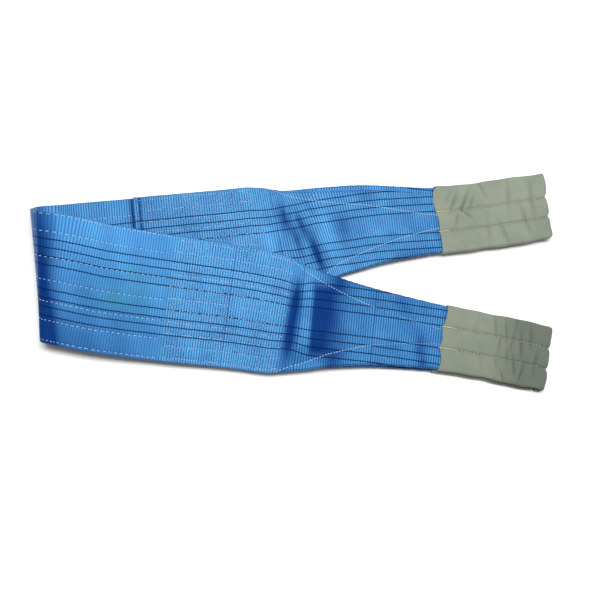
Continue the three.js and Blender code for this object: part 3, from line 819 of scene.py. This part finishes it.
for leg in LEGS:
    leg.body = leg.name + "_leg"
    leg.eye = leg.name + "_eye_"
    leg.zones = eye_zones(leg)
    leg.throat_x = leg.root + 22.0       # where the root pieces meet the throat pieces
BACK.start_x = CUT_X[0]
BACK.fold_parts, BACK.fold_zone = (BACK.body, "bend_1"), bend_zone(1)
FRONT.start_x = BEND_X - (LOOP - (BEND_X - CUT_X[3]))
FRONT.fold_parts, FRONT.fold_zone = ("bend_4", FRONT.body), bend_zone(5)
BACK.body_cut, FRONT.body_cut = -188.0, -140.0   # the outer ply is in two pieces here
OUTER_CUT = 140.0      # the eye's outer limb is in two pieces here
TIP_RUN = 46.0         # how far before the tip's bend its own webbing starts


# ---- webbing ---------------------------------------------------------------------------
def tip_webbing(leg):
    """The webbing that turns back on itself inside the sleeve."""
    first = "leg" if leg is FRONT else "ret"
    far, centre_x = leg.cut - TIP_RUN, tip_centre_x(leg)
    path = (np.arange(far, centre_x, 2.0), np.linspace(0, 1, 17),
            np.arange(centre_x - 1.0, leg.cut + 0.6, -2.0))
    x = path_x(leg, path)
    last = path[0][-1]

    def place(v, n):
        short = -4.5 * np.clip(1 - n / 4.5, 0, 1)      # stops short inside the sleeve
        v = v * (1 - 0.07 * smooth(last - 30, last, x))[:, None]
        return wrap_tip(leg, first, path, v, n, short * smooth(last - 40, last, x)[:, None])

    return sheet(leg.eye + "tip_webbing", leg, "leg", far + np.arange(len(x)) * 2.0, MAT_OUT,
                 ribs=(0.8, 0.5), tip=SimpleNamespace(x=x, place=place))


def leg_webbing(leg):
    front = leg is FRONT
    far, near = leg.cut - TIP_RUN, leg.cut - 7.8
    eye, zones = leg.eye, leg.zones
    throat, outer, outer_end, return_end = (
        eye + part for part in ("throat", "outer", "outer_end", "return_end"))
    mat_return = MAT_OUT if front else MAT_IN

    # outer ply: one run from the fold, along the leg, out over the eye
    piece = sheet(leg.name + "_webbing_body", leg, "leg", stations(leg.start_x, leg.body_cut),
                  MAT_OUT, BODY_ROWS + SPLICE_ROWS, folded=False)
    fit(piece, leg.fold_zone, [leg.name + "_outer_webbing"])
    piece = sheet(leg.name + "_webbing_root", leg, "leg", stations(leg.body_cut, leg.throat_x),
                  MAT_OUT, SPLICE_ROWS)
    fit(piece, zones.root)
    piece = sheet(eye + "outer_throat_webbing", leg, "leg", stations(leg.throat_x, OUTER_CUT),
                  MAT_OUT, ribs=(1, 0.5))
    fit(piece, zones.throat, [eye + "throat_outer"])
    piece = sheet(eye + "outer_webbing", leg, "leg", stations(OUTER_CUT, far if front else near),
                  MAT_OUT, ribs=(1, 0.5))
    fit(piece, zones.outer_knee, [eye + "outer_limb", outer_end])

    # inner ply
    piece = sheet(leg.name + "_inner_ply", leg, "leg", stations(leg.start_x, leg.root - 1.3),
                  MAT_IN, BODY_ROWS, depth=STEP, ribs=(0.4, 1), folded=False)
    fit(piece, leg.fold_zone, [leg.name + "_inner_webbing"])

    # returning ply: its cut end is sewn into the splice, then it runs out over the eye
    piece = sheet(leg.name + "_splice_tail_webbing", leg, "ret",
                  stations(leg.splice, leg.throat_x), mat_return, SPLICE_ROWS)
    fit(piece, zones.root, [leg.name + "_splice_tail"])
    piece = sheet(eye + "return_webbing", leg, "ret",
                  stations(leg.throat_x, near if front else far), mat_return, ribs=(1, 0.5))
    fit(piece, zones.return_knee, [eye + "return_limb", return_end])

    fit(tip_webbing(leg), zones.tip,
        [eye + "tip"])


def loop_webbing(k):
    """Both plies of the loop between links k and k + 1."""
    run = stations(CUT_X[k], CUT_X[k - 1])      # x falls along the loop
    for part, depth, material, ribs in (("outer", 0.0, MAT_OUT, (1, 0.4)),
                                        ("inner", STEP, MAT_IN, (0.4, 1))):
        piece = sheet(f"fold_{part}_ply_{k}", BACK, "leg", run, material, BODY_ROWS,
                      depth=depth, ribs=ribs, folded=False)
        links = (3, 4) if k == 3 else (k,)
        fit(piece, bend_zone(k + 1), [f"bend_{i}_{part}_webbing" for i in links])


for leg in LEGS:
    leg_webbing(leg)
for k in (1, 2, 3):
    loop_webbing(k)


# ---- stitching ----------------------------------------------------------------------
STITCH_RINGS, STITCH_SIDES = 7, 6
# along a stitch: (share of its length, height over the face)
STITCH_LIFT = ([0, 0.16, 0.5, 0.84, 1], [-0.75, 0.05, 0.38, 0.05, -0.75])
# along a stitch: (share of its length, share of its radius)
STITCH_TAPER = ([0, 0.12, 0.5, 0.88, 1], [0.35, 0.85, 1.0, 0.85, 0.35])

# pitch, share of it that thread covers, face it lies on, direction off it, thread radius,
# drop (share of stitches missing) and jitter along the row
BODY_OUTER = dict(pitch=9.4, share=0.52, face=-FACE, out=-1, radius=0.56)
BODY_INNER = dict(pitch=9.4, share=0.5, face=STEP + FACE, out=1, radius=0.6)
SPLICE_OUTER = dict(pitch=5.4, share=0.5, face=-FACE, out=-1, radius=0.74, drop=0.3, jitter=1.0)
SPLICE_INNER = dict(pitch=5.4, share=0.5, face=2 * STEP + FACE, out=1, radius=0.7, drop=0.32,
                    jitter=1.0)
THROAT_SEAM = dict(pitch=5.2, share=0.66, face=-FACE, out=-1, radius=0.8)
LIMB_SEAM = dict(pitch=5.2, share=0.5, face=-FACE, out=-1, radius=0.5, drop=0.12)
SLEEVE_ROW = dict(pitch=6.2, share=0.5, face=-2.75, out=-1, radius=0.62)


def stitches(name, groups, material=MAT_THREAD):
    """One capsule per stitch; groups come from stitch_row."""
    t = np.linspace(0, 1, STITCH_RINGS)
    angle = np.arange(STITCH_SIDES) * 2 * math.pi / STITCH_SIDES
    size = STITCH_RINGS * STITCH_SIDES
    side = tube_quads(STITCH_RINGS, STITCH_SIDES, STITCH_SIDES)
    cap = np.array([[0, 1, 2, 3], [0, 3, 4, 5]])
    caps = np.concatenate([cap[:, ::-1], cap + size - STITCH_SIDES])
    one = np.concatenate([side, caps])
    points, quads = [], []
    base = 0
    for place, x0, x1, s0, s1, face, out, radius in groups:
        x = x0[:, None] + (x1 - x0)[:, None] * t
        s = s0[:, None] + (s1 - s0)[:, None] * t
        lift = np.interp(t, *STITCH_LIFT)[None, :, None]
        thick = (radius * np.interp(t, *STITCH_TAPER))[None, :, None]
        p = place(x[..., None], s[..., None] + thick * np.cos(angle),
                  face + out * (lift + thick * np.sin(angle)))
        points.append(p.reshape(-1, 3))
        starts = base + np.arange(len(x0))[:, None, None] * size
        group = np.concatenate([(starts + side).reshape(-1, 4), (starts + caps).reshape(-1, 4)])
        # the first stitch shows which way the faces turn
        first = p[0].reshape(-1, 3)
        inside_out = signed_volume(first - first.mean(0), one) <= 0
        quads.append(group[:, ::-1] if inside_out else group)
        base += len(x0) * size
    return make(name, metres(np.concatenate(points)), np.concatenate(quads), material)


def stitch_row(place, start, end, row, seed, pitch, share, face, out, radius,
               drop=0.0, jitter=0.25):
    """Uneven stitches from start to end; row is their place across, a number or f(x)."""
    rng = np.random.default_rng(seed)
    count = max(1, int((end - start) / pitch))
    x0 = start + (np.arange(count) + 0.2) * (end - start) / count
    x0 = x0 + rng.uniform(-jitter, jitter, count)
    length = pitch * share * rng.uniform(0.86, 1.1, count)
    keep = rng.uniform(size=count) >= drop
    x0, length = x0[keep], length[keep]
    x1 = np.minimum(x0 + length, end)
    stray = rng.normal(0, 0.16, len(x0))
    s0, s1 = (row(x0), row(x1)) if callable(row) else (row, row)
    return place, x0, x1, s0 + stray, s1 + stray, face, out, radius


def on_body(leg):
    """Place function for s across the full web."""
    return lambda x, s, n: spot(
        leg, "leg", x, s * half_width(leg, np.maximum(x, BEND_X)) / HALF, n)


def on_limb(leg, kind):
    return lambda x, v, n: spot(leg, kind, x, v, n)


def body_stitching(leg):
    """Rows that join the two plies; the back leg's resting face shows no thread."""
    front = leg is FRONT
    place = on_body(leg)
    start, end = leg.start_x + 1, leg.splice - 5
    groups = []
    for i, s in enumerate(BODY_ROWS):
        if front:
            groups.append(stitch_row(place, start, end, s, seed=100 + i, **BODY_OUTER))
        if i:
            groups.append(stitch_row(place, start, end, s, seed=200 + i, **BODY_INNER))
    rows = ["bobbin", "needle"] if front else ["bobbin"]
    piece = stitches(leg.name + "_body_stitching", groups)
    fit(piece, leg.fold_zone, [f"{leg.name}_body_{row}_rows" for row in rows])

    groups = []
    for i, s in enumerate(SPLICE_ROWS):
        if front:
            groups.append(stitch_row(place, leg.splice + 2, leg.root - 3, s, seed=300 + i,
                                     **SPLICE_OUTER))
        groups.append(stitch_row(place, leg.splice + 3, leg.root - 3, s, seed=400 + i,
                                 **SPLICE_INNER))
    piece = stitches(leg.name + "_splice_stitching", groups)
    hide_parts(*[f"{leg.name}_splice_{row}_rows" for row in rows])
    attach(piece, leg.body)


def loop_stitching(k):
    place = on_body(BACK)
    start, end = CUT_X[k] + 0.5, CUT_X[k - 1] - 0.5
    groups = []
    for i, s in enumerate(BODY_ROWS):
        groups.append(stitch_row(place, start, end, s, seed=500 + 10 * k + i, **BODY_OUTER))
        groups.append(stitch_row(place, start, end, s, seed=550 + 10 * k + i, **BODY_INNER))
    fit(stitches(f"fold_stitching_{k}", groups), bend_zone(k + 1))


def eye_seams(leg, kind, limb):
    """Two seams along one limb of an eye, which hold its turned-in edges."""
    body, throat, outer, zones = leg.body, leg.eye + "throat", leg.eye + "outer", leg.zones
    end = leg.sleeve + 6
    # (tag, start, end, parts, bend, style)
    sections = [("a", leg.root - 8, leg.throat_x, (body, throat), zones.root, THROAT_SEAM)]
    if kind == "leg":
        sections += [
            ("b", leg.throat_x, OUTER_CUT, (throat, outer), zones.throat, THROAT_SEAM),
            ("c", OUTER_CUT, end, (outer, outer + "_end"), zones.outer_knee, LIMB_SEAM)]
    else:
        sections.append(("b", leg.throat_x, end, (throat, leg.eye + "return_end"),
                         zones.return_knee, THROAT_SEAM))
    for tag, a, b, parts, bend, style in sections:
        groups = []
        for side, seed in ((1, 1), (-1, 2)):
            def seam(x, side=side):
                return side * np.maximum(14, 2 * half_width(leg, x) - HALF + 9)

            groups.append(stitch_row(on_limb(leg, kind), a + 0.5, b - 0.5, seam,
                                     seed=700 + seed + len(limb) + ord(tag), **style))
        fit(stitches(f"{leg.eye}{limb}_seam_{tag}", groups), bend,
            [f"{leg.eye}{limb}_fold_seam"] if tag == "b" else ())


for leg in LEGS:
    body_stitching(leg)
for k in (1, 2, 3):
    loop_stitching(k)
for leg in LEGS:
    eye_seams(leg, "ret", "return")
    if leg is FRONT:
        eye_seams(leg, "leg", "outer")


# ---- wear sleeves --------------------------------------------------------------------
SLEEVE_HALF = 65.3     # half width of a sleeve
SLEEVE_ROWS = (21, -21)   # its sewn rows
SLEEVE_OUT, SLEEVE_IN = 3.3, 6.9   # depths of its two faces, outwards and inwards
CANVAS_WALL = 1.2

# crumples: (x, v, angle from across in degrees, length, width, depth)
FRONT_CREASES = [
    (372, 40, 12, 34, 4.5, 1.0), (386, 12, -8, 26, 4, 1.1), (397, 36, 10, 30, 4, 1.0),
    (404, -10, 6, 24, 4.5, 1.2), (414, 20, -10, 30, 4, 1.0), (422, -32, 14, 26, 4.5, 1.2),
    (433, 8, 8, 34, 5, 1.1), (440, -42, -12, 24, 4, 1.1), (452, 30, 6, 30, 5, 0.9),
    (384, -40, 20, 22, 4, 1.0), (400, -56, 26, 16, 3.5, 1.2), (466, -14, -6, 30, 5, 0.9),
    (418, 58, 0, 16, 4, 1.0), (346, -30, 8, 26, 6, 0.6), (330, 30, -8, 28, 6, 0.5)]
BACK_CREASES = [
    (306, 44, -34, 20, 4.2, 1.5), (314, 38, -34, 20, 3.6, 1.3), (330, 30, -38, 18, 4, 1.2),
    (345, 46, -40, 24, 4.2, 1.5), (352, 36, -36, 18, 3.6, 1.1), (336, 8, 40, 18, 4, 1.2),
    (312, -2, -20, 16, 4, 0.9), (378, 52, 20, 18, 4, 0.8), (402, -40, 10, 30, 5, 0.8),
    (430, 40, -14, 26, 5, 0.7), (452, -20, 8, 30, 5, 0.8), (372, -26, -10, 26, 5, 0.6),
    (470, 22, 0, 34, 5, 0.8)]
# factors on the length, width and depth of every crease
FRONT_CREASE_SCALE, BACK_CREASE_SCALE = (0.8, 0.82, 0.72), (1, 1, 1.05)


def crumple(leg, upper, x, v):
    """Height of the creases; the lower sleeve has them mirrored and half as deep."""
    front = leg is FRONT
    by_length, by_width, by_depth = FRONT_CREASE_SCALE if front else BACK_CREASE_SCALE
    height = 0
    for cx, cv, degrees, length, width, depth in FRONT_CREASES if front else BACK_CREASES:
        length, width, depth = length * by_length, width * by_width, depth * by_depth
        if not upper:
            cx, cv, degrees, depth = cx + 9, -cv, -degrees, depth * 0.5
        angle = math.radians(degrees)
        dx, dv = x - cx, v - cv
        off = dx * math.cos(angle) + dv * math.sin(angle)
        along = -dx * math.sin(angle) + dv * math.cos(angle)
        height = height + depth * ((bell(off, 0, width) - 0.55 * bell(off, 1.7 * width, width))
                                   * bell(along, 0, length))
    return height


def sleeve_path(leg, upper):
    centre_x = tip_centre_x(leg)
    mouth = leg.sleeve + np.array([0, 0.5, 1.4, 2.8, 4.4])
    end = centre_x - 0.8 if upper else leg.cut - 7.8
    out_x = np.concatenate([mouth, np.arange(leg.sleeve + 6.5, end, 2.4)])
    if not upper:      # stops short of the tip so the eye can open
        return np.append(out_x, leg.cut - 6.6), np.zeros(0), np.zeros(0)
    back_x = np.append(np.arange(centre_x - 1.5, leg.cut + 1.5, -2.2), leg.cut + 0.3)
    return out_x, np.linspace(0, 1, 21), back_x


def sleeve_ends(leg, upper, v, pillow):
    """How far the scalloped mouth sits along x, and how far the tip reaches."""
    if leg is FRONT:
        back_set = 6.0 * (1 - smooth(5, 58, v)) + 2.5 * bell(v, -21, 12) if upper else 15.0
        mouth = 3.4 * pillow * (1 - 0.3 * np.sign(v)) - 1.6 - back_set
        reach = (1.9 - 2.2 * bell(v, 21, 5) - 3.0 * bell(v, -21, 6) + 1.2 * bell(v, 58, 12)
                 - 3.0 * smooth(-36, -64, v))
    else:
        forward = (6.5 * smooth(50, 66, v) - 6.5 * bell(v, 40, 20) if upper
                   else 6.0 * smooth(20, 60, v))
        mouth = 1.8 * pillow + forward - 1.2
        reach = (4.8 + 9.0 * smooth(4, 50, v) - 4.0 * smooth(-10, -46, v)
                 - 2.6 * bell(v, 21, 5) - 3.0 * bell(v, -21, 5) + 1.6 * bell(v, 2, 14))
    return mouth, reach


def sleeve(name, leg, upper):
    """Canvas tube on one limb of an eye; the upper one goes on round the end of the eye."""
    first = "leg" if upper == (leg is FRONT) else "ret"
    spread = math.pi / 2 * 0.86
    v = SLEEVE_HALF * np.sin(np.linspace(-1, 1, 53) * spread) / math.sin(spread)
    v = np.unique(np.round(np.concatenate([v, [-22.8, -21, -19.2, 19.2, 21, 22.8]]), 3))[None, :]
    path = out_x, turn, back_x = sleeve_path(leg, upper)
    centre_x = tip_centre_x(leg)
    x = path_x(leg, path)[:, None]
    rows, from_mouth = len(x), x - leg.sleeve

    # the sewn rows divide the tube into three pillows
    q = np.clip((np.abs(v) - 21) / (SLEEVE_HALF - 21), 0, 1)
    pillow = np.where(np.abs(v) < 21, np.sqrt(np.clip(1 - (v / 21.0) ** 2, 0, 1)),
                      np.sqrt(np.clip(1 - (2 * q - 1) ** 2, 0, 1)))
    pinch = np.maximum(bell(v, 21, 2.6), bell(v, -21, 2.6))
    fade = smooth(0, 26, from_mouth) * 0.75 + 0.25
    crease = crumple(leg, upper, x, v)
    edge = np.clip((SLEEVE_HALF - np.abs(v)) / 3.2, 0, 1)
    rounding = np.sqrt(np.clip(1 - (1 - edge) ** 2, 0, 1))
    lift = (1.75 * pillow - pinch) * fade + crease * (0.4 + 0.6 * pillow) * 1.6
    # 0 on the upper side, 1 on the resting side, which lies flat
    under = np.ones((rows, 1))
    if upper:
        under = np.concatenate([0 * out_x, turn, np.ones(len(back_x))])[:, None]
    lift = lift * (1 - under) + np.minimum(lift, 0.1) * under

    mid_n = (SLEEVE_IN - SLEEVE_OUT) / 2
    outer_n = -(SLEEVE_OUT - 0.25 + np.clip(lift, -1.2, 4.2))
    inner_n = SLEEVE_IN - 0.35 - 0.9 * pinch * fade      # towards the other limb
    lateral = v + (0.8 * np.sin(x / 21.0) + 0.5 * np.sin(x / 9.0 + 1.3)) * (
        (np.abs(v) / SLEEVE_HALF) ** 6 * np.sign(v))
    if leg is BACK:      # loose canvas reaches out level with the layer below
        lateral = lateral + 11.0 * smooth(22, 65, v) * (1 - under)
    mouth, reach = sleeve_ends(leg, upper, v, pillow)
    shift = mouth * smooth(46, 0, from_mouth) + smooth(centre_x - 60, centre_x, x) * reach

    def skin(lateral, wall, rounding):
        faces = [wrap_tip(leg, first, path, lateral, mid_n + (n - mid_n) * rounding, shift)
                 for n in (outer_n + wall, inner_n - wall)]
        return [faces[0], faces[1][:, ::-1]]

    inside = lateral * (SLEEVE_HALF - CANVAS_WALL) / SLEEVE_HALF
    co = metres(np.concatenate(skin(lateral, 0, rounding)
                               + skin(inside, CANVAS_WALL, np.clip(rounding, 0.12, 1)), 1))
    co = co.reshape(-1, 3)
    around = 2 * v.size
    stride = 2 * around
    wall_quads = tube_quads(rows, around, stride)
    j = np.arange(around)
    beside = (j + 1) % around
    rim = np.stack([j, j + around, beside + around, beside], -1)
    quads = np.concatenate([wall_quads, flipped(wall_quads) + around, rim,
                            flipped(rim) + (rows - 1) * stride])

    # darker towards the tip of the sleeve
    if leg is FRONT:
        tone = 0.14 + 0.52 * smooth(leg.sleeve + 60, leg.cut - 30, x)
    else:
        tone = 0.08 * smooth(leg.sleeve + 70, leg.cut, x)
    # painted shade in the crease hollows, and a faint painted highlight on their ridges
    tone = tone + np.clip(-crease, 0, 1) * 0.75 - np.clip(crease, 0, 1.4) * 0.10
    run = np.concatenate([out_x, centre_x + turn * 22, centre_x + 22 + (centre_x - back_x)])
    attrs = {"wm": run[:, None], "ws": v, "pinch": pinch, "tone": np.clip(tone, 0, 1)}
    for key, value in attrs.items():
        value = np.broadcast_to(value, (rows, v.size))
        attrs[key] = np.concatenate([value, value[:, ::-1]] * 2, 1)
    return make(name, co, outward(co, quads), MAT_CANVAS, attrs)


def wear_sleeve(leg):
    front = leg is FRONT
    limb, other = ("outer", "return") if front else ("return", "outer")
    end = f"{leg.eye}{limb}_end"
    piece = sleeve(leg.name + "_wear_sleeve", leg, upper=True)
    fit(piece, leg.zones.tip,
        [f"{leg.name}_sleeve_{limb}", leg.name + "_sleeve_tip"])
    piece = sleeve(leg.name + "_wear_sleeve_under", leg, upper=False)
    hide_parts(f"{leg.name}_sleeve_{other}")
    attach(piece, f"{leg.eye}{other}_end")

    place = on_limb(leg, "leg" if front else "ret")
    groups = []
    for i, v in enumerate(SLEEVE_ROWS):
        # one long thread over the mouth, then the row
        long_end = leg.sleeve + (24 if (i == 0) == front else 30)
        long_start = leg.sleeve - (11.0 if front else 4.0)
        groups.append((place, *(np.array([a]) for a in (long_start, long_end, v, v)),
                       -3.05, -1, 0.8))
        groups.append(stitch_row(place, long_end + 3, leg.cut - 36, v, seed=900 + i,
                                 **SLEEVE_ROW))
    piece = stitches(leg.name + "_sleeve_stitching", groups, MAT_CREAM)
    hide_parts(leg.name + "_sleeve_seam")
    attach(piece, end)
    groups = [stitch_row(place, leg.cut - 34, leg.cut - 3, v, seed=950 + i, **SLEEVE_ROW)
              for i, v in enumerate(SLEEVE_ROWS)]
    fit(stitches(leg.name + "_sleeve_tip_stitching", groups, MAT_CREAM),
        leg.zones.tip)


for leg in LEGS:
    wear_sleeve(leg)


# ---- stage, in metres ------------------------------------------------------------------
def link_aimed(name, data, place, target):
    """Add a light or camera at place, looking at target with its x axis level."""
    place = np.array(place, float)
    z = unit(place - np.array(target, float))
    x = unit(np.array([1.0, 0, 0]) - z * z[0])
    y = np.cross(z, x)
    thing = bpy.data.objects.new(name, data)
    bpy.context.scene.collection.objects.link(thing)
    thing.matrix_world = Matrix([*zip(x, y, z, place), (0, 0, 0, 1)])
    return thing


def floor(half_size=6.0, z=-0.0006):
    me = bpy.data.meshes.new("floor")
    corners = [(-1, -1), (1, -1), (1, 1), (-1, 1)]
    me.from_pydata([(x * half_size, y * half_size, z) for x, y in corners], [], [(0, 1, 2, 3)])
    piece = bpy.data.objects.new("floor", me)
    bpy.context.scene.collection.objects.link(piece)
    m = Tree("floor")
    m.set("Base Color", (0.93, 0.93, 0.93))
    m.set("Roughness", 0.9)
    m.set("Specular IOR Level", 0.1)
    me.materials.append(m.mat)


def studio_world(strength=0.22, backdrop=0.74):
    """White surround that lights softly; the camera sees it brighter by backdrop."""
    world = bpy.data.worlds.new("studio")
    bpy.context.scene.world = world
    world.use_nodes = True
    tree = world.node_tree
    background = tree.nodes["Background"]
    background.inputs[0].default_value = (1.0, 1.0, 1.0, 1)
    light_path = tree.nodes.new("ShaderNodeLightPath")
    seen = tree.nodes.new("ShaderNodeMath")
    seen.operation = "MULTIPLY_ADD"
    tree.links.new(light_path.outputs["Is Camera Ray"], seen.inputs[0])
    seen.inputs[1].default_value = backdrop
    seen.inputs[2].default_value = strength
    tree.links.new(seen.outputs[0], background.inputs[1])


def key_light():
    light = bpy.data.lights.new("key", "AREA")
    light.shape = "RECTANGLE"
    light.size, light.size_y = 2.4, 0.95
    light.energy = 80
    light.color = (1, 1, 1)
    link_aimed("key", light, place=(0.02, 0.50, 2.25), target=(0.0, 0.1, 0))


floor()
studio_world()
key_light()
bpy.context.scene.view_settings.view_transform = "Standard"
bpy.context.scene.view_settings.look = "None"

camera = bpy.data.cameras.new("camera")
camera.lens = 41.21
camera.sensor_width = 36
bpy.context.scene.camera = link_aimed(
    "camera", camera, place=metres([-142.199, -273.086, 1314.421]), target=metres([0, 0, 0]))
